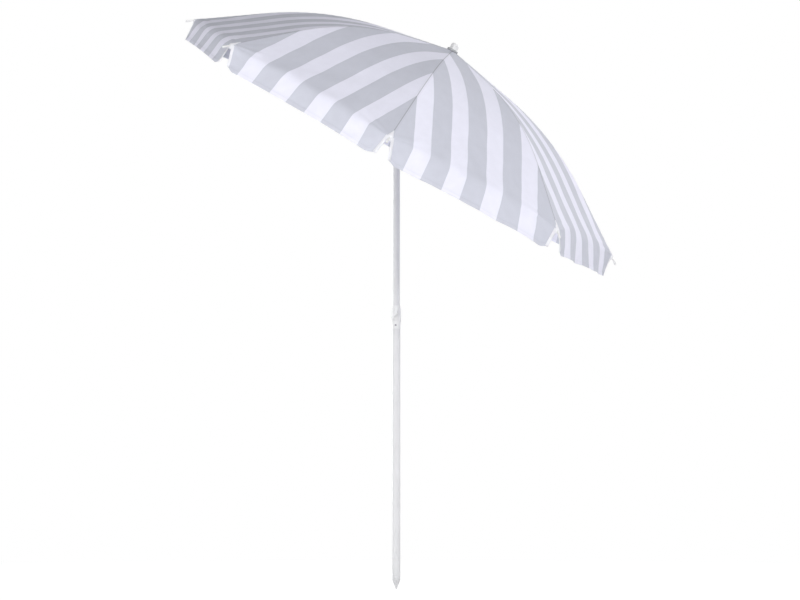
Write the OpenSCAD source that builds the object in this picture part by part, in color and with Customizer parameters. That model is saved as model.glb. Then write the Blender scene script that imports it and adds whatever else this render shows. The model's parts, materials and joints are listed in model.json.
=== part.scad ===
// Beach umbrella: a telescoping pole with a ground spike, a clamp collar, a tilting head and a folding canopy.
// The origin is the centre of the lower pole's lower end. +Z runs up the pole.
// The head is tilted about +Y, so the canopy's low side points along +X.
// Lengths are in millimetres and angles in degrees.

/* [Lower pole] */
// Outer radius of the lower pole
lower_r = 12.5; // [11.5:0.25:14]
// Wall of the lower pole
lower_wall = 1; // [0.8:0.1:1.2]
// Length of the lower pole below the clamp collar
lower_len = 761; // [650:1:850]
// Length of the reduced spigot that carries the collar
spigot_len = 35; // [31:1:40]
// Step in radius from the lower pole to its spigot
spigot_step = 0.3; // [0.2:0.05:0.4]

/* [Ground spike] */
// Height of the round shoulder under the pole
shoulder_h = 14; // [10:1:20]
// Height of the cone under the shoulder
cone_h = 28; // [20:1:45]
// Radius of the blunt tip
spike_tip_r = 1.5; // [1:0.25:3]
// Length of the plug inside the lower pole
spike_plug = 40; // [25:1:60]

/* [Upper pole] */
// Radial gap between the lower and the upper pole
pole_gap = 0.5; // [0.4:0.05:0.7]
// Wall of the upper pole and of the head tube
upper_wall = 0.8; // [0.6:0.05:1]
// Length of the upper pole inside the lower pole
pole_overlap = 220; // [180:5:300]
// Height of the guide ring on the upper pole's lower end
bush_h = 8; // [5:1:12]
// Length of the guide's plug inside the upper pole
bush_plug = 20; // [12:1:30]

/* [Clamp collar] */
// Height of the sleeve over the spigot
sleeve_h = 22; // [18:1:26]
// Wall of the sleeve
sleeve_wall = 1; // [0.8:0.1:2]
// Height of the raised ring above the sleeve
ring_h = 6; // [4:1:8]
// Radius that the raised ring adds to the sleeve
ring_step = 1.2; // [0.8:0.1:2]
// Height of the clamp body
clamp_h = 37; // [32:1:44]
// Radius of the clamp body
clamp_r = 14; // [13.8:0.1:14.6]
// Height of the thin top ring
top_ring_h = 8; // [5:1:10]
// Radius of the thin top ring
top_ring_r = 13; // [12.6:0.1:13.6]
// Radius of the boss that holds the clamp screw
boss_r = 8; // [7:0.5:9]
// Distance from the pole's axis to the face of the boss
boss_reach = 19; // [17:0.5:22]
// Radius of the screw that fixes the collar to the spigot
fix_screw_r = 1.5; // [1:0.1:2]
// Radius of that screw's head
fix_head_r = 3; // [2.5:0.1:4]
// Height of that screw's head
fix_head_h = 1.4; // [1:0.1:2]

/* [Clamp knob] */
// Radius of the clamp screw
screw_r = 3; // [2.5:0.1:3.5]
// Outer radius of the threaded insert
insert_r = 4.8; // [4.6:0.1:5.5]
// Depth of the threaded insert in the boss
insert_len = 6; // [4:0.5:7]
// Length of the wing knob from tip to tip
knob_span = 40; // [32:1:48]
// Width of the wings
knob_w = 9; // [7:0.5:11]
// Thickness of the wings
knob_t = 6; // [4:0.5:8]
// Radius of the knob's hub
knob_hub_r = 7; // [6.5:0.25:9]
// Length of the knob's hub
knob_hub_len = 11; // [9:0.5:14]
// Lean of the wings from upright
knob_lean = 25; // [0:1:60]
// Turn of the knob round the pole, from -Y towards +X
clamp_yaw = 13; // [0:1:45]

/* [Tilt joint] */
// Height of the tilt pivot
pivot_h = 1328; // [1250:1:1450]
// Tilt of the head from upright
tilt_deg = 32; // [0:1:32]
// Thickness of the tongue between the fork's cheeks
tongue_t = 8; // [6:0.5:10]
// Radius of the pivot pin
pin_r = 3; // [2:0.25:4]
// Distance from the pivot to each tube end
knuckle_len = 40; // [36:1:50]
// Length of each knuckle's plug inside its tube
knuckle_plug = 35; // [25:1:50]
// Radius of the tilt button
button_r = 3.5; // [2.5:0.25:4]
// Distance of the tilt button below the pivot
button_drop = 24; // [20:1:28]
// Height that the button stands out of the knuckle
button_out = 3; // [2.6:0.1:4]
// Length of the spring behind the button
spring_len = 4; // [3.5:0.25:5]
// Wire of the springs behind the buttons
spring_wire = 0.5; // [0.3:0.05:0.6]

/* [Crown] */
// Distance from the tilt pivot to the rib hinges
crown_h = 353.5; // [340:0.5:380]
// Radius of the ring that the ribs hinge on
crown_ring_r = 18; // [17:0.25:20]
// Radius of the wire in both rings
wire_r = 1; // [0.8:0.05:1.2]
// Margin of the crown and of the runner's flange outside their rings
flange_margin = 5; // [4:0.5:7]
// Height of the crown's disc below the rib hinges
crown_drop = 10; // [8:0.5:14]
// Height of the crown's sleeve below its disc
crown_sleeve_h = 20; // [14:1:30]
// Wall of the crown's and the runner's sleeves
hub_wall = 3.9; // [3:0.1:4]

/* [Finial] */
// Radius of the flange on the canopy
cap_r = 18; // [16:0.5:24]
// Height of the flange on the canopy's axis
cap_h = 4; // [3:0.5:7]
// Radius of the finial at its foot
finial_r = 13.5; // [12:0.25:15]
// Radius of the finial under its round edge
finial_top_r = 12.2; // [10.5:0.1:12.5]
// Height of the finial above the flange
finial_h = 19; // [15:1:30]
// Radius of the finial's round edge
finial_edge = 4; // [2:0.5:6]
// Length of the finial's plug below the canopy
finial_plug = 26; // [20:1:35]

/* [Runner] */
// Radius of the ring that the stretchers hinge on
runner_ring_r = 20; // [19.5:0.25:22]
// Height of the flange above the ring
runner_rise = 4; // [3:0.5:6]
// Depth of the flange below the ring
runner_drop = 5; // [4:0.5:7]
// Length of the hand sleeve below the ring
runner_skirt = 34; // [33:1:36]
// Radius of the runner's push button
catch_r = 2.6; // [2:0.1:2.8]
// Wall of the boss round that button
catch_wall = 1.5; // [1.2:0.1:1.6]
// Distance of that button below the ring
catch_drop = 27; // [26:0.5:28]
// Distance from the pole's axis to the face of the button's boss
catch_reach = 18; // [17:0.5:19]

/* [Ribs and stretchers] */
// Radius of a rib's rod
rod_r = 2; // [1.6:0.1:2.1]
// Distance from a rib's hinge to its stretcher joint
stretcher_at = 142; // [130:1:150]
// Length of a stretcher between its joints
stretcher_len = 172; // [160:1:180]
// Drop of the stretcher joint below the rod
lug_drop = 6; // [5.5:0.25:8]
// Thickness of the lug under a rib
lug_t = 2.4; // [1.6:0.1:3]
// Radius of the stretcher rivets
rivet_r = 1.5; // [1.2:0.1:1.8]
// Outer width of a stretcher's channel
channel_w = 6; // [5.9:0.1:6.4]
// Depth of a stretcher's channel
channel_d = 5.6; // [5:0.1:6]
// Thickness of a stretcher's cheeks
cheek_t = 0.8; // [0.6:0.05:0.8]
// Thickness of a stretcher's web
web_t = 1.2; // [0.8:0.1:1.3]
// Length of a rib's end cap
tip_len = 42; // [34:1:52]
// Outer radius of the end cap's sleeve
tip_r = 2.35; // [2.2:0.05:2.4]
// Radius of the end cap's ball
tip_ball_r = 3.5; // [3:0.1:4]
// Radius of the rib's end inside its cap
tip_core_r = 1.3; // [1:0.05:1.5]
// Length of the end cap that passes the canopy's rim
tip_over = 26; // [16:1:32]
// Length of the sleeves where a rib's straight and bent lengths meet
joint_len = 12; // [8:1:20]
// Radius that those sleeves add to the rod
joint_step = 0.15; // [0.1:0.01:0.2]

/* [Canopy] */
// Radius of the canopy at the rib tips
canopy_r = 760; // [720:5:820]
// Slope of the ribs at the crown
crown_slope = 10.7; // [8:0.1:13]
// Slope of the ribs at the rim
rim_slope = 34.2; // [30:0.1:38]
// Straight length of a rib before it bends
rib_straight = 207; // [190:1:240]
// Radius of a rib's bend
bend_r = 933; // [850:1:1000]
// Thickness of the cloth
cloth_t = 1.2; // [0.8:0.1:1.5]
// Depth that the cloth hangs in between two ribs, two thirds of the way to the rim
cloth_sag = 6; // [0:1:15]
// Height that the cloth stands up between two ribs at the rim
rim_rise = 4; // [0:1:10]
// Drop of the valance below the rim
valance_drop = 70; // [40:1:90]
// Outward slope that the valance is cut to, in the middle of a panel
valance_flare = 18; // [5:1:25]
// Slope that the tilted head's valance gains on its low side and loses on its high side
valance_swing = 13; // [0:1:20]
// Sideways slope of the valance beside a slit, halfway between those sides
valance_lean = 8; // [0:1:12]
// Half width of the slit in the valance at its hem
slit_half = 16; // [8:1:25]
// Share of the valance's drop that its corners have
corner_share = 0.86; // [0.7:0.02:1]

/* [Fits] */
// Radial gap between sliding or turning pieces
running_gap = 0.08; // [0.05:0.01:0.1]
// Radial gap between pieces that are fixed to each other
seat_gap = 0.05; // [0.02:0.01:0.06]
// Gap between pieces that move past each other
part_gap = 0.4; // [0.3:0.05:0.5]
// Gap between the cloth and what it lies on
cloth_gap = 0.5; // [0.4:0.05:0.6]

/* [Hidden] */
$fn = 48;
rib_count = 8;
rib_step = 360 / rib_count;
half_step = rib_step / 2;

lower_bore = lower_r - lower_wall;
upper_r = lower_bore - pole_gap;
upper_bore = upper_r - upper_wall;
spigot_r = lower_r - spigot_step;
pole_foot = lower_len - pole_overlap;
plug_r = upper_bore - seat_gap;
slide_bore = upper_r + running_gap;

sleeve_r = spigot_r + seat_gap + sleeve_wall;
ring_r = sleeve_r + ring_step;
clamp_foot = sleeve_h + ring_h;
collar_h = clamp_foot + clamp_h + top_ring_h;
screw_h = lower_len + clamp_foot + clamp_h / 2;
screw_start = upper_r + part_gap;
knob_start = boss_reach + part_gap;
knob_seat = knob_hub_len * 0.6;
fix_h = lower_len + sleeve_h / 2;

eye_r = upper_r - part_gap;
cheek_gap = tongue_t / 2 + running_gap;
button_tail = upper_r * 0.55;
button_stop = button_tail - spring_len;

hinge_bore = wire_r + part_gap;
hinge_wall = 0.8;
hinge_eye_r = hinge_bore + hinge_wall;
rod_start = hinge_bore + hinge_wall / 2;
hinge_eye_t = rod_r * 1.8;
groove_r = wire_r + seat_gap;
crown_r = crown_ring_r + flange_margin;
crown_slot = hinge_eye_t + 2 * part_gap;
crown_bore = upper_r + seat_gap;
hub_sleeve_r = upper_r + hub_wall;
crown_face = crown_h + wire_r / 2;

// The rib's centre line in its own plane: straight, then an arc, then straight to the rim
cloth_off = rod_r + cloth_gap + cloth_t;
bend_len = bend_r * (rim_slope - crown_slope) * PI / 180;
bend_from = [crown_ring_r + rib_straight * cos(crown_slope), crown_h - rib_straight * sin(crown_slope)];
bend_centre = bend_from - bend_r * [sin(crown_slope), cos(crown_slope)];
bend_to = bend_centre + bend_r * [sin(rim_slope), cos(rim_slope)];
end_len = (canopy_r - cloth_off * sin(rim_slope) - bend_to[0]) / cos(rim_slope);
rim_at = rib_straight + bend_len + end_len;
cap_depth = tip_len - tip_over;
function slope_at(s) =
    s < rib_straight ? crown_slope
    : min(rim_slope, crown_slope + (s - rib_straight) / bend_r * 180 / PI);
function rod_at(s) =
    s < rib_straight ? [crown_ring_r + s * cos(crown_slope), crown_h - s * sin(crown_slope)]
    : s < rib_straight + bend_len ? bend_centre + bend_r * [sin(slope_at(s)), cos(slope_at(s))]
    : bend_to + (s - rib_straight - bend_len) * [cos(rim_slope), -sin(rim_slope)];
function normal_at(s) = [sin(slope_at(s)), cos(slope_at(s))];

// The stretcher runs from the lug under the rib to the runner's ring
lug_at = rod_at(stretcher_at) - lug_drop * normal_at(stretcher_at);
runner_h = lug_at[1] - sqrt(pow(stretcher_len, 2) - pow(lug_at[0] - runner_ring_r, 2));
stretcher_rise = atan2(lug_at[1] - runner_h, lug_at[0] - runner_ring_r);
lug_eye_r = rivet_r + 2;
rivet_head_r = rivet_r + 0.9;
rivet_head_h = 0.9;
cheek_bore = rivet_r + running_gap;
cheek_end = lug_eye_r;
tongue_len = 22;
hook_t = 1.6;
web_top = -(wire_r + part_gap);
web_foot = web_top - web_t;
web_end = stretcher_len - 2.5 * lug_eye_r;
runner_flange_r = runner_ring_r + flange_margin;
runner_slot = channel_w + 3 * part_gap;
runner_slot_from = hub_sleeve_r + part_gap;
catch_boss_r = catch_r + catch_wall;
catch_out = 2.5;
catch_tail = hub_sleeve_r;
catch_h = runner_h - catch_drop;

cap_bore = plug_r + running_gap;
cap_top = crown_h + crown_ring_r * tan(crown_slope) + cloth_off / cos(crown_slope) + cap_h;
finial_foot = crown_h - finial_plug;

// The cloth over one rib, as rows along the rib and columns across it
hole_r = plug_r + 3;
inner_rows = 2;
bend_rows = 8;
outer_rows = 2;
roof_rows = inner_rows + bend_rows + outer_rows;
drop_rows = 3;
rows = roof_rows + drop_rows;
hem_inset = 6;
rim_half = canopy_r * sin(half_step);
across = [-1, -0.7, -0.35, -hem_inset / rim_half, 0, hem_inset / rim_half, 0.35, 0.7, 1];
last = len(across) - 1;
middle = last / 2;
roof_from = (hole_r - crown_ring_r) / cos(crown_slope);
function row_at(i) =
    i < inner_rows ? roof_from + (rib_straight - roof_from) * i / inner_rows
    : i < inner_rows + bend_rows ? rib_straight + bend_len * (i - inner_rows) / bend_rows
    : rim_at - end_len * max(0, roof_rows - i) / outer_rows;
function drop_share(i) = max(0, i - roof_rows) / drop_rows;
function is_slit_edge(j) = abs(j - middle) == 1;
function across_at(i, j) =
    across[j] + (is_slit_edge(j) ? sign(across[j]) * slit_half * drop_share(i) / rim_half : 0);
function arch(q) = 2 * abs(q) - q * q;
function drop_at(i, j) = valance_drop * drop_share(i) * (is_slit_edge(j) ? corner_share : 1);
function dip(share) = (6.75 * cloth_sag * (1 - share) - rim_rise) * pow(share, 2);
function held(q) = pow(1 - abs(q), 4);
function turn_at(k, q) = (k - 0.5) * rib_step + half_step * q;
function flare_at(k, q) = (valance_flare + valance_swing * cos(turn_at(k, q))) * (1 - held(q));
function lean_at(k, q) = -tan(valance_lean) * sin(turn_at(k, q)) * held(q);
function chord(rho, q) = [rho * (1 - abs(q) * (1 - cos(rib_step)) / 2), rho * q * sin(rib_step) / 2];
function cloth_point(k, i, j, off) =
    let (s = row_at(i))
    let (q = across_at(i, j))
    let (flare = flare_at(k, q))
    let (skin = i > roof_rows ? [cos(flare), sin(flare)] : normal_at(s))
    let (over_rib = rod_at(s) + cloth_off * normal_at(s))
    let (plan = chord(over_rib[0], q))
    let (out = sin(flare) * drop_at(i, j) - off * skin[0])
    let (side = lean_at(k, q) * drop_at(i, j))
    [plan[0] + out * cos(half_step * q) - side * sin(half_step * q),
     plan[1] + out * sin(half_step * q) + side * cos(half_step * q) - q * cloth_gap,
     over_rib[1] - dip(over_rib[0] / canopy_r) * arch(q) - cos(flare) * drop_at(i, j) - off * skin[1]];
function has_quad(i, j) =
    i >= 0 && i < rows && j >= 0 && j < last && (i < roof_rows || abs(j + 0.5 - middle) > 1);
function top_id(i, j) = i * (last + 1) + j;
function low_id(i, j) = (rows + 1) * (last + 1) + top_id(i, j);
function wall(i1, j1, i2, j2) =
    [[top_id(i2, j2), top_id(i1, j1), low_id(i1, j1)], [top_id(i2, j2), low_id(i1, j1), low_id(i2, j2)]];

// Places children in the tilted head, with the tilt pivot as their origin
module tilted() {
    translate([0, 0, pivot_h]) rotate([0, tilt_deg, 0]) children();
}

// Places children in the plane of rib k, with X pointing outwards
module rib_plane(k) {
    tilted() rotate([0, 0, (k - 0.5) * rib_step]) children();
}

// A solid ring of wire
module wire_ring(ring_r, section_r) {
    rotate_extrude($fn = 96) translate([ring_r, 0]) circle(section_r);
}

// A tube from z = 0 upwards
module tube(outer, bore, h) {
    difference() {
        cylinder(r = outer, h = h);
        translate([0, 0, -1]) cylinder(r = bore, h = h + 2);
    }
}

// Slots that run outwards between the hinges of a hub
module hub_slots(from_r, to_r, width, foot, h) {
    for (k = [1 : rib_count])
        rotate([0, 0, (k - 0.5) * rib_step])
            translate([from_r, -width / 2, foot]) cube([to_r - from_r, width, h]);
}

// A cylinder across the pole towards -Y, from one distance off the axis to another
module towards_front(r, from, to) {
    translate([0, -from, 0]) rotate([90, 0, 0]) cylinder(r = r, h = to - from);
}

// Places children at a height on the pole, turned to the side that the clamp knob faces
module clamp_side(h) {
    translate([0, 0, h]) rotate([0, 0, clamp_yaw]) children();
}

// A cylinder across the pole towards -X, from one distance off the axis to another
module towards_high_side(r, from, to) {
    translate([-from, 0, 0]) rotate([0, -90, 0]) cylinder(r = r, h = to - from);
}

module lower_pole() {
    color("whitesmoke") difference() {
        union() {
            cylinder(r = lower_r, h = lower_len);
            cylinder(r = spigot_r, h = lower_len + spigot_len);
        }
        translate([0, 0, -1]) cylinder(r = lower_bore, h = lower_len + spigot_len + 2);
        clamp_side(fix_h) towards_front(fix_screw_r + seat_gap, 0, lower_r);
    }
}

module ground_spike() {
    color("lightgray") {
        cylinder(r = lower_bore - seat_gap, h = spike_plug);
        translate([0, 0, -shoulder_h]) cylinder(r = lower_r, h = shoulder_h);
        translate([0, 0, -shoulder_h - cone_h]) cylinder(r1 = spike_tip_r, r2 = lower_r, h = cone_h);
    }
}

module clamp_collar() {
    color("white") clamp_side(lower_len) difference() {
        union() {
            cylinder(r = sleeve_r, h = sleeve_h);
            translate([0, 0, sleeve_h]) cylinder(r = ring_r, h = ring_h);
            translate([0, 0, clamp_foot]) cylinder(r = clamp_r, h = clamp_h);
            translate([0, 0, clamp_foot + clamp_h]) cylinder(r = top_ring_r, h = top_ring_h);
            translate([0, 0, screw_h - lower_len]) towards_front(boss_r, 0, boss_reach);
        }
        translate([0, 0, -1]) cylinder(r = slide_bore, h = collar_h + 2);
        translate([0, 0, -1]) cylinder(r = spigot_r + seat_gap, h = spigot_len + 1 + part_gap);
        translate([0, 0, fix_h - lower_len]) towards_front(fix_screw_r + seat_gap, 0, ring_r);
        translate([0, 0, screw_h - lower_len]) {
            towards_front(screw_r + running_gap, 0, boss_reach + 1);
            towards_front(insert_r + seat_gap, boss_reach - insert_len, boss_reach + 1);
        }
    }
}

module collar_screw() {
    color("dimgray") clamp_side(fix_h) {
        towards_front(fix_screw_r, lower_bore, sleeve_r + seat_gap);
        towards_front(fix_head_r, sleeve_r + seat_gap, sleeve_r + seat_gap + fix_head_h);
    }
}

module clamp_insert() {
    color("goldenrod") clamp_side(screw_h) difference() {
        towards_front(insert_r, boss_reach - insert_len, boss_reach);
        towards_front(screw_r + running_gap, 0, boss_reach + 1);
    }
}

module clamp_screw() {
    color("silver") clamp_side(screw_h) towards_front(screw_r, screw_start, knob_start + knob_seat);
}

module clamp_knob() {
    wing_end = knob_span / 2 - knob_w / 2;
    color("white") clamp_side(screw_h) rotate([0, knob_lean, 0]) difference() {
        union() {
            towards_front(knob_hub_r, knob_start, knob_start + knob_hub_len);
            for (side = [-1, 1])
                translate([0, 0, side * wing_end])
                    towards_front(knob_w / 2, knob_start + knob_hub_len - knob_t, knob_start + knob_hub_len);
            translate([-knob_w / 2, -knob_start - knob_hub_len, -wing_end])
                cube([knob_w, knob_t, 2 * wing_end]);
        }
        towards_front(screw_r + seat_gap, 0, knob_start + knob_seat);
    }
}

module upper_pole() {
    color("whitesmoke") translate([0, 0, pole_foot])
        tube(upper_r, upper_bore, pivot_h - knuckle_len - pole_foot);
}

module guide_bush() {
    color("darkgray") {
        translate([0, 0, pole_foot]) cylinder(r = plug_r, h = bush_plug);
        translate([0, 0, pole_foot - bush_h]) cylinder(r = lower_bore - running_gap, h = bush_h);
    }
}

module lower_knuckle() {
    color("gainsboro") translate([0, 0, pivot_h]) difference() {
        union() {
            translate([0, 0, -knuckle_len - knuckle_plug]) cylinder(r = plug_r, h = knuckle_plug);
            translate([0, 0, -knuckle_len]) cylinder(r = upper_r, h = knuckle_len);
            intersection() {
                cylinder(r = upper_r, h = eye_r);
                towards_front(eye_r, -upper_r, upper_r);
            }
        }
        translate([-upper_r, -cheek_gap, -upper_r]) cube([2 * upper_r, 2 * cheek_gap, 2 * upper_r]);
        towards_front(pin_r + seat_gap, -upper_r, upper_r);
        translate([0, 0, -button_drop]) towards_high_side(button_r + running_gap, button_stop, upper_r + 1);
    }
}

module tilt_pin() {
    pin_half = sqrt(pow(upper_r, 2) - pow(pin_r, 2)) - seat_gap;
    color("silver") translate([0, 0, pivot_h]) towards_front(pin_r, -pin_half, pin_half);
}

module tilt_button() {
    color("dimgray") translate([0, 0, pivot_h - button_drop])
        towards_high_side(button_r, button_tail, upper_r + button_out);
}

module tilt_spring() {
    color("silver") translate([0, 0, pivot_h - button_drop]) difference() {
        towards_high_side(button_r - spring_wire, button_stop, button_tail);
        towards_high_side(button_r - 2 * spring_wire, button_stop - 1, button_tail + 1);
    }
}

module head_tube() {
    color("whitesmoke") tilted() translate([0, 0, knuckle_len])
        tube(upper_r, upper_bore, crown_h - knuckle_len);
}

module upper_knuckle() {
    shoulder = upper_r + part_gap;
    color("gainsboro") tilted() difference() {
        union() {
            translate([0, 0, shoulder]) cylinder(r = upper_r, h = knuckle_len - shoulder);
            translate([0, 0, knuckle_len]) cylinder(r = plug_r, h = knuckle_plug);
            intersection() {
                cylinder(r = upper_r, h = shoulder);
                translate([-eye_r, -tongue_t / 2, 0]) cube([2 * eye_r, tongue_t, shoulder]);
            }
            towards_front(eye_r, -tongue_t / 2, tongue_t / 2);
        }
        towards_front(pin_r + running_gap, -tongue_t, tongue_t);
    }
}

module crown() {
    color("white") tilted() difference() {
        union() {
            translate([0, 0, crown_h - crown_drop])
                cylinder(r = crown_r, h = crown_face - crown_h + crown_drop);
            translate([0, 0, crown_h - crown_drop - crown_sleeve_h])
                cylinder(r = hub_sleeve_r, h = crown_sleeve_h + crown_drop);
        }
        translate([0, 0, crown_h - crown_drop - crown_sleeve_h - 1])
            cylinder(r = crown_bore, h = crown_sleeve_h + 2 * crown_drop);
        hub_slots(hub_sleeve_r - hub_wall / 2, crown_r + 1, crown_slot, crown_h - crown_drop, 2 * crown_drop);
        translate([0, 0, crown_h]) wire_ring(crown_ring_r, groove_r);
    }
}

module crown_ring() {
    color("silver") tilted() translate([0, 0, crown_h]) wire_ring(crown_ring_r, wire_r);
}

module apex_cap() {
    cap_foot = cap_top - cap_h + cloth_gap;
    rim_drop = cap_r * tan(crown_slope);
    bore_drop = cap_bore * tan(crown_slope);
    color("silver") tilted() rotate_extrude($fn = 96)
        polygon([[cap_bore, cap_foot - bore_drop], [cap_r, cap_foot - rim_drop],
                 [cap_r, cap_top - cap_h / 2], [cap_r - cap_h / 2, cap_top], [cap_bore, cap_top]]);
}

module finial() {
    top = cap_top + finial_h;
    edge_r = finial_top_r - finial_edge;
    color("white") tilted() rotate_extrude($fn = 96) {
        polygon([[0, finial_foot], [plug_r, finial_foot], [plug_r, cap_top], [finial_r, cap_top],
                 [finial_top_r, top - finial_edge], [edge_r, top], [0, top]]);
        translate([edge_r, top - finial_edge]) circle(finial_edge);
    }
}

module runner() {
    color("white") tilted() difference() {
        union() {
            translate([0, 0, runner_h - runner_drop])
                cylinder(r = runner_flange_r, h = runner_drop + runner_rise);
            translate([0, 0, runner_h - runner_skirt])
                cylinder(r = hub_sleeve_r, h = runner_skirt + runner_rise);
            translate([0, 0, catch_h]) towards_front(catch_boss_r, upper_r, catch_reach);
        }
        translate([0, 0, runner_h - runner_skirt - 1])
            cylinder(r = slide_bore, h = runner_skirt + runner_rise + 2);
        translate([0, 0, runner_h])
            hub_slots(runner_slot_from, runner_flange_r + 1, runner_slot, -2 * runner_drop, 4 * runner_drop);
        translate([0, 0, runner_h]) wire_ring(runner_ring_r, groove_r);
        translate([0, 0, catch_h]) towards_front(catch_r + running_gap, 0, catch_reach + 1);
    }
}

module runner_ring() {
    color("silver") tilted() translate([0, 0, runner_h]) wire_ring(runner_ring_r, wire_r);
}

module runner_button() {
    color("dimgray") tilted() translate([0, 0, catch_h])
        towards_front(catch_r, catch_tail, catch_reach + catch_out);
}

module runner_spring() {
    color("silver") tilted() translate([0, 0, catch_h]) difference() {
        towards_front(catch_r - spring_wire, upper_r + part_gap, catch_tail);
        towards_front(catch_r - 2 * spring_wire, upper_r, catch_tail + 1);
    }
}

// The round rod of a rib along its centre line
module rib_rod() {
    translate([rod_at(rod_start)[0], 0, rod_at(rod_start)[1]])
        rotate([0, 90 + crown_slope, 0]) cylinder(r = rod_r, h = rib_straight - rod_start);
    translate([bend_centre[0], 0, bend_centre[1]]) rotate([90, 0, 0]) rotate([0, 0, 90 - rim_slope])
        rotate_extrude(angle = rim_slope - crown_slope, $fn = 96) translate([bend_r, 0]) circle(rod_r);
    translate([bend_to[0], 0, bend_to[1]]) rotate([0, 90 + rim_slope, 0]) {
        cylinder(r = rod_r, h = end_len - cap_depth - part_gap);
        cylinder(r = tip_core_r, h = end_len - part_gap);
    }
    rod_joint(bend_from, crown_slope);
    rod_joint(bend_to, rim_slope);
}

// A short sleeve over the rod, centred where two of its lengths meet
module rod_joint(at, slope) {
    translate([at[0], 0, at[1]]) rotate([0, 90 + slope, 0])
        cylinder(r = rod_r + joint_step, h = joint_len, center = true);
}

// The lug under a rib, in the rod's own direction
module rib_lug() {
    translate([lug_at[0], 0, lug_at[1]]) rotate([0, crown_slope, 0]) {
        towards_front(lug_eye_r, -lug_t / 2, lug_t / 2);
        translate([-lug_eye_r, -lug_t / 2, 0]) cube([2 * lug_eye_r, lug_t, lug_drop]);
    }
}

module rib(k) {
    rivet_half = channel_w / 2 + part_gap;
    color("silver") rib_plane(k) {
        difference() {
            union() {
                rib_rod();
                rib_lug();
                translate([crown_ring_r, 0, crown_h])
                    towards_front(hinge_eye_r, -hinge_eye_t / 2, hinge_eye_t / 2);
            }
            translate([crown_ring_r, 0, crown_h]) towards_front(hinge_bore, -hinge_eye_t, hinge_eye_t);
            translate([lug_at[0], 0, lug_at[1]]) towards_front(rivet_r + seat_gap, -lug_t, lug_t);
        }
        translate([lug_at[0], 0, lug_at[1]]) {
            towards_front(rivet_r, -rivet_half, rivet_half);
            towards_front(rivet_head_r, rivet_half, rivet_half + rivet_head_h);
            towards_front(rivet_head_r, -rivet_half - rivet_head_h, -rivet_half);
        }
    }
}

module stretcher(k) {
    inner_w = channel_w - 2 * cheek_t;
    color("silver") rib_plane(k) translate([runner_ring_r, 0, runner_h]) rotate([0, -stretcher_rise, 0])
        difference() {
            union() {
                translate([-hook_t - wire_r - part_gap, -channel_w / 2, web_foot])
                    cube([web_end + hook_t + wire_r + part_gap, channel_w, web_t]);
                translate([-hook_t - wire_r - part_gap, -channel_w / 2, web_foot])
                    cube([hook_t, channel_w, web_t + 2 * wire_r]);
                translate([tongue_len, -channel_w / 2, web_foot])
                    cube([stretcher_len - tongue_len, channel_w, channel_d]);
                translate([stretcher_len, 0, 0]) towards_front(cheek_end, -channel_w / 2, channel_w / 2);
            }
            translate([tongue_len - 1, -inner_w / 2, web_top])
                cube([stretcher_len, inner_w, channel_d]);
            translate([web_end, -inner_w / 2, -channel_d]) cube([stretcher_len, inner_w, 2 * channel_d]);
            translate([stretcher_len, 0, 0]) towards_front(cheek_bore, -channel_w, channel_w);
        }
}

module rib_tip(k) {
    rim = rod_at(rim_at);
    color("white") rib_plane(k) translate([rim[0], 0, rim[1]]) rotate([0, 90 + rim_slope, 0]) difference() {
        union() {
            translate([0, 0, -cap_depth]) cylinder(r = tip_r, h = tip_len);
            cylinder(r1 = tip_r, r2 = tip_ball_r, h = tip_over);
            translate([0, 0, tip_over]) sphere(tip_ball_r);
        }
        translate([0, 0, -cap_depth - 1]) cylinder(r = tip_core_r + seat_gap, h = cap_depth + 1);
    }
}

module canopy_gore(k) {
    points = [for (off = [0, cloth_t]) for (i = [0 : rows]) for (j = [0 : last]) cloth_point(k, i, j, off)];
    quads = [for (i = [0 : rows - 1]) for (j = [0 : last - 1]) if (has_quad(i, j)) [i, j]];
    faces = [
        for (q = quads) let (i = q[0], j = q[1]) each concat(
            [[top_id(i, j), top_id(i, j + 1), top_id(i + 1, j + 1)],
             [top_id(i, j), top_id(i + 1, j + 1), top_id(i + 1, j)],
             [low_id(i, j), low_id(i + 1, j + 1), low_id(i, j + 1)],
             [low_id(i, j), low_id(i + 1, j), low_id(i + 1, j + 1)]],
            has_quad(i - 1, j) ? [] : wall(i, j, i, j + 1),
            has_quad(i, j + 1) ? [] : wall(i, j + 1, i + 1, j + 1),
            has_quad(i + 1, j) ? [] : wall(i + 1, j + 1, i + 1, j),
            has_quad(i, j - 1) ? [] : wall(i + 1, j, i, j))];
    color(k % 2 == 0 ? "lightsteelblue" : "gainsboro") rib_plane(k) polyhedron(points, faces);
}

lower_pole();
ground_spike();
clamp_collar();
collar_screw();
clamp_insert();
clamp_screw();
clamp_knob();
upper_pole();
guide_bush();
lower_knuckle();
tilt_pin();
tilt_button();
tilt_spring();
head_tube();
upper_knuckle();
crown();
crown_ring();
apex_cap();
finial();
runner();
runner_ring();
runner_button();
runner_spring();
for (k = [1 : rib_count]) {
    rib(k);
    stretcher(k);
    rib_tip(k);
    canopy_gore(k);
}
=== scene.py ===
"""The looks of a beach umbrella, built round its solids. Sizes are in metres unless a name says so."""

import json
import math
from collections import Counter

import bmesh
import bpy
from mathutils import Matrix, Vector


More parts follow.
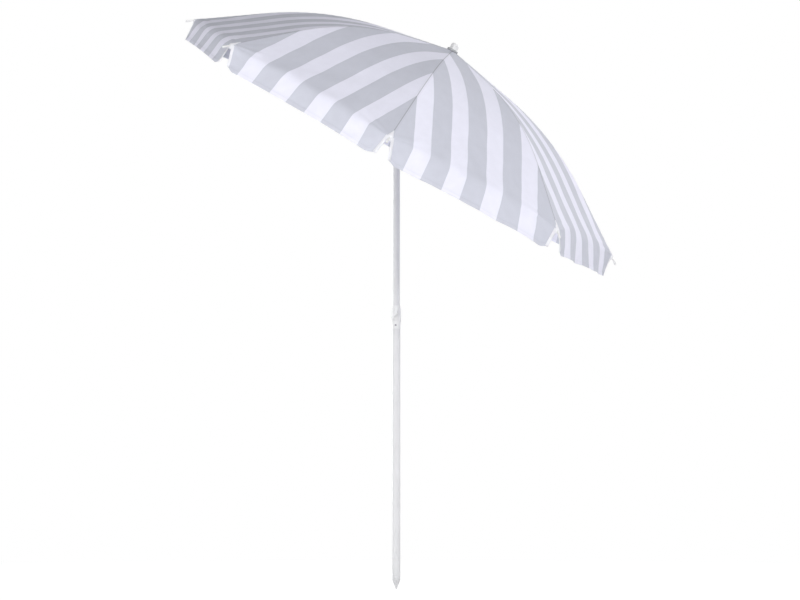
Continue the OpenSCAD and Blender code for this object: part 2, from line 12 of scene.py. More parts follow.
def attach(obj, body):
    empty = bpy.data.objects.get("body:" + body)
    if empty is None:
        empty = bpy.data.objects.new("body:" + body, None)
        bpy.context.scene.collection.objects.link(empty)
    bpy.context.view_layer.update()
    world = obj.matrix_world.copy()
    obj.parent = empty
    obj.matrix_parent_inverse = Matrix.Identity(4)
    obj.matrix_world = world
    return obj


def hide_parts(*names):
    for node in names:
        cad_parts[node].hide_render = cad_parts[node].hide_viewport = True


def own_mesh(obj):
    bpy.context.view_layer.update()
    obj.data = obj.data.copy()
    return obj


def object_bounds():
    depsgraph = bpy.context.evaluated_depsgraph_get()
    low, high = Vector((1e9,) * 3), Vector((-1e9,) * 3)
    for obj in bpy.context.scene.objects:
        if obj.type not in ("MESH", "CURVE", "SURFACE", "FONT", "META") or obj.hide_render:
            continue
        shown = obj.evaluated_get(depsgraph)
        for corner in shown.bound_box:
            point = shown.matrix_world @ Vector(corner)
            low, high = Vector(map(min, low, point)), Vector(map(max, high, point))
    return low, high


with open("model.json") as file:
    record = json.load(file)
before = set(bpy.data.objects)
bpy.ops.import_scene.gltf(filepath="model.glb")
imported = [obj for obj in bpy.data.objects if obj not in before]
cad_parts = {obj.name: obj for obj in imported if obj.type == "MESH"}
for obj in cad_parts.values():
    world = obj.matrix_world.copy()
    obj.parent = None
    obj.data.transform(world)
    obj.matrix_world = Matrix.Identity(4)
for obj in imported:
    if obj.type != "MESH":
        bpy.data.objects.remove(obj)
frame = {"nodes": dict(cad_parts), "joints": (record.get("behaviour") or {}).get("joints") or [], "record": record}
cad_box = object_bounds()

# The head's own frame, from the joints: the tilt pivot and the line that the runner slides on
JOINTS = {joint["name"]: joint for joint in frame["joints"]}
PIVOT = Vector(JOINTS["tilt_hinge"]["pos_m"])
HEAD_Z = -Vector(JOINTS["runner_slide"]["axis"])
HEAD_Y = Vector((0, 1, 0))
HEAD_X = HEAD_Y.cross(HEAD_Z)

# The frame of ribs
RIBS = range(1, 9)
RIB_STEP = math.radians(45)
HALF_STEP = RIB_STEP / 2
CROWN_H = 0.3535
CROWN_RING_R = 0.018
CROWN_SLOPE = math.radians(10.7)
RIM_SLOPE = math.radians(34.2)
RIB_STRAIGHT = 0.207
BEND_R = 0.933
CANOPY_R = 0.760

# The cloth
CLOTH_OFF = 0.0037
CLOTH_T = 0.0008
HOLE_R = 0.0132
SAG = 0.006
# A dip of share ** 2 * (1 - share) is at its largest two thirds of the way out, where it is 4 / 27
SAG_SCALE = 6.75
RIM_RISE = 0.004
DROP = 0.070
CORNER_SHARE = 0.86
CORNER_LEN = 0.030
FLARE = math.radians(18)
FLARE_SWING = math.radians(13)
LEAN = math.tan(math.radians(8))
TILT = math.acos(HEAD_Z.z)
# Corners beside a slit that hang free, as (rib, side): how far they go from the head's own down to plumb
FREE_CORNERS = {(8, 1): 0.95, (8, -1): 0.45}
FOLD_UP = 0.020
# Half the length of the rim's round bend, and where beside the rib it starts and how soon it is whole, as q
RIM_BEND = 0.022
RIM_BEND_FROM = 0.01
RIM_BEND_OVER = 0.12
SLIT_TOP = 0.004
SLIT_HEM = 0.021
HEM_W = 0.012
HEM_LIFT = 0.0005

# Stripes run along each panel's centre line, grey in the middle
STRIPE_PERIOD = 0.1239
GREY_SHARE = 0.535
OUTER_STRIPE = 2 * STRIPE_PERIOD

# The rib's centre line in its own plane: straight, then an arc, then straight to the rim
BEND_LEN = BEND_R * (RIM_SLOPE - CROWN_SLOPE)
BEND_FROM = (
    CROWN_RING_R + RIB_STRAIGHT * math.cos(CROWN_SLOPE),
    CROWN_H - RIB_STRAIGHT * math.sin(CROWN_SLOPE),
)
BEND_CENTRE = (BEND_FROM[0] - BEND_R * math.sin(CROWN_SLOPE), BEND_FROM[1] - BEND_R * math.cos(CROWN_SLOPE))
BEND_TO = (BEND_CENTRE[0] + BEND_R * math.sin(RIM_SLOPE), BEND_CENTRE[1] + BEND_R * math.cos(RIM_SLOPE))
END_LEN = (CANOPY_R - CLOTH_OFF * math.sin(RIM_SLOPE) - BEND_TO[0]) / math.cos(RIM_SLOPE)
RIM_AT = RIB_STRAIGHT + BEND_LEN + END_LEN
ROOF_FROM = (HOLE_R - CROWN_RING_R) / math.cos(CROWN_SLOPE)
RIM_HALF = CANOPY_R * math.sin(HALF_STEP)


def smooth(x):
    """0 below 0, 1 above 1, and an S-curve between."""
    x = min(1.0, max(0.0, x))
    return x * x * (3 - 2 * x)


def slope_at(s):
    """The rib's slope at a distance s from its hinge."""
    return min(RIM_SLOPE, CROWN_SLOPE + max(0.0, s - RIB_STRAIGHT) / BEND_R)


def rod_at(s):
    """The rib's centre line at s, as distance from the head's axis and height above the pivot."""
    if s < RIB_STRAIGHT:
        return CROWN_RING_R + s * math.cos(CROWN_SLOPE), CROWN_H - s * math.sin(CROWN_SLOPE)
    if s < RIB_STRAIGHT + BEND_LEN:
        slope = slope_at(s)
        return BEND_CENTRE[0] + BEND_R * math.sin(slope), BEND_CENTRE[1] + BEND_R * math.cos(slope)
    past = s - RIB_STRAIGHT - BEND_LEN
    return BEND_TO[0] + past * math.cos(RIM_SLOPE), BEND_TO[1] - past * math.sin(RIM_SLOPE)


def rib_frame(k):
    """The plane of rib k: X outwards, Y across the rib and Z up the head, from the tilt pivot."""
    turn = (k - 0.5) * RIB_STEP
    x = HEAD_X * math.cos(turn) + HEAD_Y * math.sin(turn)
    y = HEAD_Y * math.cos(turn) - HEAD_X * math.sin(turn)
    return Matrix.Translation(PIVOT) @ Matrix((x, y, HEAD_Z)).transposed().to_4x4()


def arch(q):
    """The cross-section of a panel from its rib (q = 0) to its middle (q = 1 or -1)."""
    return 2 * abs(q) - q * q


def around(k, q):
    """The angle of a cloth point round the head, from the low side."""
    return (k - 0.5) * RIB_STEP + HALF_STEP * q


def dip(share):
    """How far a panel's middle lies below the line between its ribs, at a share of the way to the rim."""
    return (SAG_SCALE * SAG * (1 - share) - RIM_RISE) * share ** 2


def held(q):
    """How far the rib holds the valance: 1 at the rib, falling to 0 in the panel's middle."""
    return (1 - abs(q)) ** 4


def free_corner(k, q):
    """How far the cloth beside the slit hangs plumb."""
    return FREE_CORNERS.get((k, 1 if q > 0 else -1), 0.0)


def flare_at(k, q):
    """The valance's outward slope, which its weight makes larger on the canopy's low side."""
    swing = math.cos(around(k, q))
    panel = FLARE + FLARE_SWING * swing
    corner = math.atan(math.tan(TILT) * swing) * free_corner(k, q)
    return panel + (corner - panel) * held(q)


def lean_at(k, q):
    """The valance's sideways slope, which its weight brings beside the slits."""
    slope = LEAN + (math.tan(TILT) - LEAN) * free_corner(k, q)
    return -slope * math.sin(around(k, q)) * held(q)


def fold_up(k, q):
    """How far above the rim the cloth starts to hang, where the low side's panel is slack."""
    low = max(0.0, math.cos(around(k, math.copysign(1, q))))
    return FOLD_UP * low ** 4 * arch(q)


def plain_cloth(k, q, t):
    """A cloth point in rib k's plane, with a sharp rim. t runs down the cloth and is 0 at the rim."""
    fold = fold_up(k, q)
    s = RIM_AT + min(t, -fold)
    slope = slope_at(s)
    rod_x, rod_z = rod_at(s)
    over_x = rod_x + CLOTH_OFF * math.sin(slope)
    over_z = rod_z + CLOTH_OFF * math.cos(slope)
    x = over_x * (1 - abs(q) * (1 - math.cos(RIB_STEP)) / 2)
    y = over_x * q * math.sin(RIB_STEP) / 2
    z = over_z - dip(over_x / CANOPY_R) * arch(q)
    down = t + fold
    if down > 0:
        flare = flare_at(k, q)
        out = math.sin(flare) * down
        side = lean_at(k, q) * down
        x += out * math.cos(HALF_STEP * q) - side * math.sin(HALF_STEP * q)
        y += out * math.sin(HALF_STEP * q) + side * math.cos(HALF_STEP * q)
        z -= math.cos(flare) * down
    return Vector((x, y, z))


def cloth_skin(k, q, t):
    """The cloth's outward direction in rib k's plane."""
    slope = slope_at(RIM_AT + min(t, 0.0))
    share = smooth((t + fold_up(k, q) + RIM_BEND) / (2 * RIM_BEND))
    flare = flare_at(k, q)
    out = math.sin(slope) * (1 - share) + math.cos(flare) * share
    up = math.cos(slope) * (1 - share) + math.sin(flare) * share
    return Vector((out * math.cos(HALF_STEP * q), out * math.sin(HALF_STEP * q), up)).normalized()


# Waves of the valance's hem round the canopy: share of the height, waves in a turn and phase
HEM_WAVES = ((0.5, 21, 0.4), (0.35, 34, 2.1), (0.25, 55, 4.0))
HEM_WAVE_H = 0.0016
LOW_WAVE_H = 0.0046
HEM_WAVE_POWER = 1.3
# Tension folds: share of the height, parts along and across the panel, length and phase from panel to panel
FOLDS = ((1.0, 0.85, 0.55, 0.11, 1.7), (0.6, 0.6, -0.9, 0.077, 2.9))
FOLD_H = 0.0012
# Puckers along the seams
PUCKER_H = 0.0004
PUCKER_LEN = 0.028
PUCKER_AT = 0.007
PUCKER_PHASE = 2.3
# The seam's groove over each rib
GROOVE_H = 0.0008
GROOVE_HALF = 0.0016
# Creases that run out from a rib's end: share of the height, creases in a turn and phase
TIP_CREASES = ((0.6, 11, 0.7), (0.4, 17, 2.6))
TIP_CREASE_H = 0.0016
TIP_CREASE_AT = 0.034
TIP_CREASE_FROM = 0.012
# The creases' phase from rib to rib, on the two sides of the rib
TIP_PHASES = (1.9, 2.7)


def tip_creases(k, q, t, y):
    """How far the creases round a rib's end lift the cloth."""
    reach = math.hypot(y, t) / TIP_CREASE_AT
    turn = math.atan2(t, abs(y))
    clear = abs(y) - TIP_CREASE_FROM - max(0.0, t) * SLIT_HEM / DROP
    phase = TIP_PHASES[0 if q > 0 else 1] * k
    waves = sum(a * math.sin(n * turn + p + phase) for a, n, p in TIP_CREASES)
    return TIP_CREASE_H * waves * reach * math.exp(1 - reach) * smooth(clear / TIP_CREASE_FROM)


def cloth_relief(k, q, t, y):
    """How far folds, puckers, the seam's groove and the hem's waves lift the cloth."""
    s = RIM_AT + min(t, 0.0)
    panel = (k if q > 0 else k - 1) % len(RIBS)
    across = q - 1 if q > 0 else q + 1
    down = s / RIM_AT
    half_w = s * math.sin(HALF_STEP)
    fold = 0.0
    for share, along, beside, length, phase in FOLDS:
        way = along * s + beside * across * half_w
        fold += share * math.sin(2 * math.pi * way / length + phase * panel)
    lift = FOLD_H * fold * (1 - across * across) * down ** 3 * (1 - smooth(t / DROP))
    pucker = math.sin(2 * math.pi * s / PUCKER_LEN + PUCKER_PHASE * k)
    lift += PUCKER_H * pucker * math.exp(-(((abs(y) - PUCKER_AT) / PUCKER_AT) ** 2))
    lift -= GROOVE_H * math.exp(-((y / GROOVE_HALF) ** 2)) * (1 - smooth(t / HEM_W))
    lift += tip_creases(k, q, t, y)
    turn = around(k, q)
    waves = sum(a * math.sin(n * turn + p) for a, n, p in HEM_WAVES)
    lift += (HEM_WAVE_H + LOW_WAVE_H * math.cos(turn) ** 2) * waves * (max(0.0, t) / DROP) ** HEM_WAVE_POWER
    return lift


def cloth_at(k, q, t, lift=0.0):
    """A cloth point in rib k's plane, with a round rim and the cloth's relief, lifted off its face."""
    bend = RIM_BEND * smooth((abs(q) - RIM_BEND_FROM) / RIM_BEND_OVER)
    fold = -fold_up(k, q)
    if abs(t - fold) < bend:
        u = (t - fold + bend) / (2 * bend)
        point = plain_cloth(k, q, fold - bend) * (1 - u) ** 2
        point += plain_cloth(k, q, fold) * 2 * u * (1 - u)
        point += plain_cloth(k, q, fold + bend) * u ** 2
    else:
        point = plain_cloth(k, q, t)
    return point + cloth_skin(k, q, t) * (lift + cloth_relief(k, q, t, point.y))


def slit_q(share):
    """The slit's edge at a share of the valance's drop."""
    return (SLIT_TOP + (SLIT_HEM - SLIT_TOP) * share) / RIM_HALF


def drop_at(q):
    """The valance's drop, which is less at the cut corners beside a slit."""
    past = (abs(q) - slit_q(1.0)) * RIM_HALF
    return DROP * (1 - (1 - CORNER_SHARE) * (1 - smooth(past / CORNER_LEN)))


# Materials


class Graph:
    """Short calls that add nodes to a tree."""

    # A mix node's colour sockets
    COLOUR_A, COLOUR_B, COLOUR_OUT = 6, 7, 2

    def __init__(self, tree):
        self.nodes = tree.nodes
        self.links = tree.links

    def put(self, socket, value):
        """Links an output to a socket, or sets the socket's value."""
        if isinstance(value, bpy.types.NodeSocket):
            self.links.new(value, socket)
        else:
            socket.default_value = value

    def math(self, operation, a, b=0.0, c=0.0):
        node = self.nodes.new("ShaderNodeMath")
        node.operation = operation
        for socket, value in zip(node.inputs, (a, b, c)):
            self.put(socket, value)
        return node.outputs[0]

    def remap(self, value, low, high, to_low=0.0, to_high=1.0):
        node = self.nodes.new("ShaderNodeMapRange")
        for socket, v in zip(node.inputs, (value, low, high, to_low, to_high)):
            self.put(socket, v)
        return node.outputs[0]

    def mix(self, factor, a, b, blend="MIX"):
        node = self.nodes.new("ShaderNodeMix")
        node.data_type = "RGBA"
        node.blend_type = blend
        self.put(node.inputs["Factor"], factor)
        self.put(node.inputs[self.COLOUR_A], a)
        self.put(node.inputs[self.COLOUR_B], b)
        return node.outputs[self.COLOUR_OUT]

    def noise(self, vector, scale, detail=2.0):
        node = self.nodes.new("ShaderNodeTexNoise")
        self.put(node.inputs["Vector"], vector)
        node.inputs["Scale"].default_value = scale
        node.inputs["Detail"].default_value = detail
        return node.outputs[0]

    def attribute(self, name):
        node = self.nodes.new("ShaderNodeAttribute")
        node.attribute_name = name
        return node

    def coordinates(self):
        """Points in the object's own space, in metres."""
        return self.nodes.new("ShaderNodeTexCoord").outputs["Object"]

    def split(self, vector):
        node = self.nodes.new("ShaderNodeSeparateXYZ")
        self.put(node.inputs[0], vector)
        return node.outputs

    def bump(self, height, distance, strength=1.0):
        node = self.nodes.new("ShaderNodeBump")
        self.put(node.inputs["Height"], height)
        node.inputs["Distance"].default_value = distance
        node.inputs["Strength"].default_value = strength
        return node.outputs[0]


def new_material(name):
    """A material with its nodes and shader, as (material, graph, shader)."""
    material = bpy.data.materials.new(name)
    material.use_nodes = True
    graph = Graph(material.node_tree)
    return material, graph, graph.nodes["Principled BSDF"]


def rgb(red, green, blue):
    """A colour written as 0 to 255, as the shaders take it."""
    def linear(c):
        c /= 255
        return c / 12.92 if c <= 0.04045 else ((c + 0.055) / 1.055) ** 2.4
    return linear(red), linear(green), linear(blue), 1.0


CLOTH_WHITE = rgb(240, 240, 254)
CLOTH_GREY = rgb(207, 209, 221)
THREAD_STEP = 0.0009
STITCH_STEP = 0.0042
STITCH_HALF = 0.0006
SEAM_STITCH_AT = 0.0055
HEM_STITCH_AT = 0.0100
STRIPE_EDGE = 0.0006
MOTTLE_SCALE = 28.0
MOTTLE_SHADE = 0.965
SLUB_SCALE = 420.0
SLUB_SHADE = 0.97
# Painted shadow in the seam's groove: the colour is darkened by this factor, fully out to the first distance from
# the seam and fading to none by the second
GROOVE_PAINTED_SHADE = 0.62
GROOVE_SHADOW_FULL, GROOVE_SHADOW_GONE = 0.0004, 0.0026
STITCH_SHADE = 0.9
# Where a stitch starts to fade and is gone, as a share of a step from its middle
DASH_FULL, DASH_END = 0.30, 0.38
THREAD_SHARE = 0.25
# The twill's phase, in radians for each metre across it
TWILL_PHASE = 4500.0
# The middle of a noise's spread, which is stretched to the whole range
NOISE_LOW, NOISE_HIGH = 0.3, 0.7


def stitch_row(graph, distance, at, along):
    """A row of stitches: 1 on the thread, 0 off it."""
    off = graph.math("ABSOLUTE", graph.math("SUBTRACT", distance, at))
    near = graph.remap(off, STITCH_HALF * 0.6, STITCH_HALF * 1.4, 1.0, 0.0)
    beat = graph.math("FRACT", graph.math("DIVIDE", along, STITCH_STEP))
    middle = graph.math("ABSOLUTE", graph.math("SUBTRACT", beat, 0.5))
    dash = graph.remap(middle, DASH_FULL, DASH_END, 1.0, 0.0)
    return graph.math("MULTIPLY", near, dash)


def weave(graph, across, along, step):
    """A plain weave: threads go over and under each other at the given step."""
    u = graph.math("SINE", graph.math("MULTIPLY", across, 2 * math.pi / step))
    v = graph.math("SINE", graph.math("MULTIPLY", along, 2 * math.pi / step))
    return graph.math("MULTIPLY", u, v)


def canopy_cloth():
    """Striped woven cloth with seam and hem stitches, and painted shadow along the groove over each rib's seam."""
    material, graph, shader = new_material("canopy_cloth")
    cloth = graph.attribute("cloth").outputs["Vector"]
    across, along, seam = graph.split(cloth)
    hem = graph.attribute("hem").outputs["Fac"]

    lateral = graph.math("MINIMUM", across, OUTER_STRIPE)
    turn = graph.math("FRACT", graph.math("ADD", graph.math("DIVIDE", lateral, STRIPE_PERIOD), 0.5))
    off = graph.math("ABSOLUTE", graph.math("SUBTRACT", turn, 0.5))
    edge = STRIPE_EDGE / STRIPE_PERIOD
    grey = graph.remap(off, GREY_SHARE / 2 - edge, GREY_SHARE / 2 + edge, 1.0, 0.0)
    colour = graph.mix(grey, CLOTH_WHITE, CLOTH_GREY)

    mottle = graph.remap(graph.noise(cloth, MOTTLE_SCALE, 4.0), NOISE_LOW, NOISE_HIGH, MOTTLE_SHADE, 1.0)
    slub = graph.remap(graph.noise(cloth, SLUB_SCALE, 1.0), NOISE_LOW, NOISE_HIGH, SLUB_SHADE, 1.0)
    shade = graph.math("MULTIPLY", mottle, slub)
    # Painted shadow along the seam's groove, multiplied into the cloth's colour together with its random tone and
    # the stitches
    painted_groove_shadow = graph.remap(seam, GROOVE_SHADOW_FULL, GROOVE_SHADOW_GONE, GROOVE_PAINTED_SHADE, 1.0)
    shade = graph.math("MULTIPLY", shade, painted_groove_shadow)
    stitches = graph.math(
        "MAXIMUM",
        stitch_row(graph, seam, SEAM_STITCH_AT, along),
        stitch_row(graph, hem, HEM_STITCH_AT, across),
    )
    shade = graph.math("MULTIPLY", shade, graph.remap(stitches, 0.0, 1.0, 1.0, STITCH_SHADE))
    tint = graph.nodes.new("ShaderNodeCombineColor")
    for socket in tint.inputs:
        graph.put(socket, shade)
    graph.put(shader.inputs["Base Color"], graph.mix(1.0, colour, tint.outputs[0], "MULTIPLY"))

    graph.put(shader.inputs["Roughness"], graph.remap(mottle, MOTTLE_SHADE, 1.0, 0.9, 0.78))
    shader.inputs["Specular IOR Level"].default_value = 0.2
    shader.inputs["Sheen Weight"].default_value = 0.04
    shader.inputs["Sheen Roughness"].default_value = 0.5
    threads = graph.math("MULTIPLY", weave(graph, across, along, THREAD_STEP), THREAD_SHARE)
    relief = graph.math("ADD", threads, stitches)
    graph.put(shader.inputs["Normal"], graph.bump(relief, 0.0004, 0.6))
    return material


def woven_tape():
    """White tape that binds the slits and pockets."""
    material, graph, shader = new_material("woven_tape")
    where = graph.coordinates()
    x, y, z = graph.split(where)
    mottle = graph.remap(graph.noise(where, 60.0, 3.0), NOISE_LOW, NOISE_HIGH)
    graph.put(shader.inputs["Base Color"], graph.mix(mottle, rgb(232, 232, 238), rgb(244, 244, 250)))
    graph.put(shader.inputs["Roughness"], graph.remap(mottle, 0.0, 1.0, 0.88, 0.75))
    shader.inputs["Sheen Weight"].default_value = 0.15
    slant = graph.math("ADD", x, graph.math("ADD", y, z))
    twill = graph.math("SINE", graph.math("MULTIPLY", slant, TWILL_PHASE))
    graph.put(shader.inputs["Normal"], graph.bump(twill, 0.0002, 0.5))
    return material


WEAR_SCALE = 9.0
WEAR_SHARE = 0.6
WEAR_SPREAD = 0.06
DULL = 0.94
GRAIN_H = 0.00004


def hard_surface(name, colour, roughness, grain, metallic=0.0, coat=0.0):
    """A moulded, painted or plated surface with fine grain and a little wear in its gloss."""
    material, graph, shader = new_material(name)
    where = graph.coordinates()
    broad = graph.noise(where, WEAR_SCALE, 4.0)
    fine = graph.noise(where, grain, 3.0)
    dull = tuple(c * DULL for c in colour[:3]) + (1.0,)
    graph.put(shader.inputs["Base Color"], graph.mix(graph.remap(broad, 0.35, 0.65), colour, dull))
    patches = graph.math("MULTIPLY", broad, WEAR_SHARE)
    specks = graph.math("MULTIPLY", fine, 1 - WEAR_SHARE)
    wear = graph.math("ADD", patches, specks)
    gloss = graph.remap(wear, NOISE_LOW, NOISE_HIGH, roughness - WEAR_SPREAD, roughness + WEAR_SPREAD)
    graph.put(shader.inputs["Roughness"], gloss)
    graph.put(shader.inputs["Normal"], graph.bump(fine, GRAIN_H, 0.5))
    shader.inputs["Metallic"].default_value = metallic
    shader.inputs["Coat Weight"].default_value = coat
    shader.inputs["Coat Roughness"].default_value = 0.15
    return material


CLOTH = canopy_cloth()
TAPE = woven_tape()
FINISHES = {
    "pole_enamel": hard_surface("pole_enamel", rgb(222, 222, 224), 0.36, 600.0, coat=0.08),
    "spike_plastic": hard_surface("spike_plastic", rgb(219, 219, 221), 0.5, 900.0),
    "white_plastic": hard_surface("white_plastic", rgb(233, 233, 234), 0.42, 900.0),
    "grey_plastic": hard_surface("grey_plastic", rgb(176, 178, 181), 0.45, 900.0),
    "dark_plastic": hard_surface("dark_plastic", rgb(72, 73, 76), 0.45, 900.0),
    "bright_steel": hard_surface("bright_steel", rgb(150, 152, 156), 0.34, 1500.0, metallic=1.0),
    "insert_brass": hard_surface("insert_brass", rgb(205, 174, 104), 0.32, 1500.0, metallic=1.0),
    "rib_steel": hard_surface("rib_steel", rgb(228, 228, 230), 0.38, 700.0, coat=0.2),
}

# Width of the rounding on the edges of these nodes
EDGE_ROUND = {
    "apex_cap": 0.0008,
    "ground_spike": 0.0006,
    "tilt_button": 0.0004,
    "runner_button": 0.0003,
    "lower_knuckle": 0.0006,
    "upper_knuckle": 0.0006,
    **{f"rib_tip_{k}": 0.0004 for k in RIBS},
}
SHARP = math.radians(32)
WELD = 0.00002


def round_edges(obj, width):
    """Moulded and cut edges are a little round, so that they catch the light."""
    weld = obj.modifiers.new("weld", "WELD")
    weld.merge_threshold = WELD
    bevel = obj.modifiers.new("round_edges", "BEVEL")
    bevel.limit_method = "ANGLE"
    bevel.angle_limit = SHARP
    bevel.width = width
    bevel.segments = 2
    bevel.use_clamp_overlap = True
    bevel.harden_normals = True


for part in frame["record"]["subparts"]:
    finish = FINISHES.get(part["material_slot"])
    if finish:
        obj = frame["nodes"][part["node"]]
        obj.data.materials.clear()
        obj.data.materials.append(finish)
        if part["node"] in EDGE_ROUND:
            round_edges(obj, EDGE_ROUND[part["node"]])


# Canopy


def sides_of(face):
    """The directed edges of a face."""
    return list(zip(face, face[1:] + face[:1]))


def closed_sheet(outer, inner, faces):
    """A closed sheet, as (points, faces, sharp edges), from two layers with a rim round their open edges."""
    n = len(outer)
    uses = Counter(frozenset(side) for face in faces for side in sides_of(face))
    open_sides = [side for face in faces for side in sides_of(face) if uses[frozenset(side)] == 1]
    back = [[i + n for i in reversed(face)] for face in faces]
    rim = [[b, a, a + n, b + n] for a, b in open_sides]
    sharp = {frozenset((a + shift, b + shift)) for a, b in open_sides for shift in (0, n)}
    return outer + inner, faces + back + rim, sharp


def new_piece(name, points, faces, material, body, sharp=()):
    """A mesh piece that rides on a body, smooth but for its sharp edges."""
    mesh = bpy.data.meshes.new(name)
    mesh.from_pydata(points, [], faces)
    mesh.polygons.foreach_set("use_smooth", [True] * len(faces))
    for edge in mesh.edges:
        if frozenset(edge.vertices) in sharp:
            edge.use_edge_sharp = True
    mesh.materials.append(material)
    piece = bpy.data.objects.new(name, mesh)
    bpy.context.scene.collection.objects.link(piece)
    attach(piece, body)
    return piece


# Columns beside the rib, as distances from it at the rim, and the count of those beyond
NEAR_COLUMNS = (0.0018, SLIT_TOP, 0.0058, 0.0085, 0.012, 0.018, 0.026, 0.036, 0.048)
FAR_COLUMNS = 18
# Rows of the roof, which are closer together over its last stretch above the rim
ROOF_ROWS = 92
EDGE_ROWS = 16
EDGE_LEN = 0.064
HEM_TOP = 1 - HEM_W / DROP
DROP_SHARES = (0.08, 0.17, 0.26, 0.36, 0.46, 0.56, 0.66, 0.75, HEM_TOP, HEM_TOP + 0.03, 0.92, 1.0)
# The row at the hem's top edge, give or take this, isn't lifted
HEM_TOP_GAP = 0.0005


def column_shares():
    """Columns from the rib to the panel's middle, closest together at the seam."""
    far_step = (RIM_HALF - NEAR_COLUMNS[-1]) / FAR_COLUMNS
    far = [NEAR_COLUMNS[-1] + far_step * (i + 1) for i in range(FAR_COLUMNS)]
    return [d / RIM_HALF for d in (*NEAR_COLUMNS, *far)]


def gather(piece):
    """Gives the piece its own copy of its mesh."""
    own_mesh(piece)


def canopy_gore(k):
    """The cloth over rib k, from the middle of one panel to the middle of the next."""
    plane = rib_frame(k)
    shares = column_shares()
    columns = [-q for q in reversed(shares)] + [0.0] + shares
    outer, inner, cloth, hems, index = [], [], [], [], {}

    def add(i, j, q, t, hem):
        index[i, j] = len(outer)
        fold = HEM_LIFT if hem < HEM_W - HEM_TOP_GAP else 0.0
        outer.append(plane @ cloth_at(k, q, t, fold))
        inner.append(plane @ cloth_at(k, q, t, -CLOTH_T - fold))
        s = RIM_AT + min(t, 0.0)
        reach = rod_at(s)[0] * math.sin(HALF_STEP)
        cloth.append(((1 - abs(q)) * reach, RIM_AT + t, abs(q) * reach + max(0.0, t)))
        hems.append(hem)

    top_t = ROOF_FROM - RIM_AT
    roof = [top_t + (-EDGE_LEN - top_t) * i / ROOF_ROWS for i in range(ROOF_ROWS)]
    roof += [-EDGE_LEN * (1 - i / EDGE_ROWS) for i in range(EDGE_ROWS + 1)]
    for i, t in enumerate(roof):
        for j, q in enumerate(columns):
            add(i, j, q, t, 1.0)
    for i, share in enumerate(DROP_SHARES, len(roof)):
        for j, q in enumerate(columns):
            top = slit_q(0.0)
            if abs(q) < top:
                continue
            down_q = slit_q(share) + (abs(q) - top) * (1 - slit_q(share)) / (1 - top)
            down_q = math.copysign(down_q, q)
            drop = drop_at(down_q)
            add(i, j, down_q, share * drop, (1 - share) * drop)

    faces = []
    for i in range(len(roof) + len(DROP_SHARES) - 1):
        for j in range(len(columns) - 1):
            corners = [(i, j), (i + 1, j), (i + 1, j + 1), (i, j + 1)]
            if all(c in index for c in corners):
                faces.append([index[c] for c in corners])

    points, faces, sharp = closed_sheet(outer, inner, faces)
    piece = new_piece(f"canopy_cloth_{k}", points, faces, CLOTH, f"rib_{k}", sharp)
    layer = piece.data.attributes.new("cloth", "FLOAT_VECTOR", "POINT")
    layer.data.foreach_set("vector", [x for v in cloth + cloth for x in v])
    layer = piece.data.attributes.new("hem", "FLOAT", "POINT")
    layer.data.foreach_set("value", hems + hems)
    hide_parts(f"canopy_gore_{k}")
    gather(piece)


# The tape that binds a slit: width, lift off the cloth and thickness past the slit's edge
TAPE_W = 0.009
TAPE_FACE = 0.0005
TAPE_EDGE = 0.0009
# Lift at its border and at its fold, as shares of the lift off the cloth
TAPE_BORDER = 0.6
TAPE_FOLD = 0.2
TAPE_ROWS = 14
# The pointed patch over a rib's end, which runs from above the rim to below it
PATCH_TOP = -0.032
PATCH_FOOT = 0.013
PATCH_POINT = 0.0012
PATCH_HALF = 0.0095
PATCH_ROWS = 18
PATCH_COLUMNS = 7
PATCH_LIFT = 0.0013
PATCH_UNDER = -0.0002
PATCH_EDGE_DROP = 0.35
PATCH_WIDENING = 1.25


def slit_tape(k, side):
    """Points and faces of the tape round one edge of the slit at rib k."""
    # Distance from the slit's edge, and lift off the cloth's face
    section = (
        (TAPE_W, TAPE_FACE * TAPE_BORDER),
        (TAPE_EDGE, TAPE_FACE),
        (-TAPE_EDGE, TAPE_FACE * TAPE_FOLD),
        (-TAPE_EDGE, -CLOTH_T),
        (TAPE_EDGE, -CLOTH_T - TAPE_FACE),
        (TAPE_W, -CLOTH_T - TAPE_FACE * TAPE_BORDER),
    )
    rings = []
    for row in range(TAPE_ROWS + 1):
        share = row / TAPE_ROWS
        q = slit_q(share)
        t = share * drop_at(q)
        hem = HEM_LIFT if (1 - share) * drop_at(q) < HEM_W else 0.0
        ring = []
        for off, lift in section:
            lift += math.copysign(hem, lift)
            ring.append(cloth_at(k, side * (q + off / RIM_HALF), t, lift))
        rings.append(ring)
    points = [p for ring in rings for p in ring]
    n = len(section)
    faces = []
    for row in range(TAPE_ROWS):
        for i in range(n):
            a, b = row * n + i, row * n + (i + 1) % n
            quad = [a, b, b + n, a + n]
            faces.append(quad if side > 0 else quad[::-1])
    ends = [list(range(n)), list(range(TAPE_ROWS * n, (TAPE_ROWS + 1) * n))]
    faces.append(ends[0][::-1] if side > 0 else ends[0])
    faces.append(ends[1] if side > 0 else ends[1][::-1])
    return points, faces


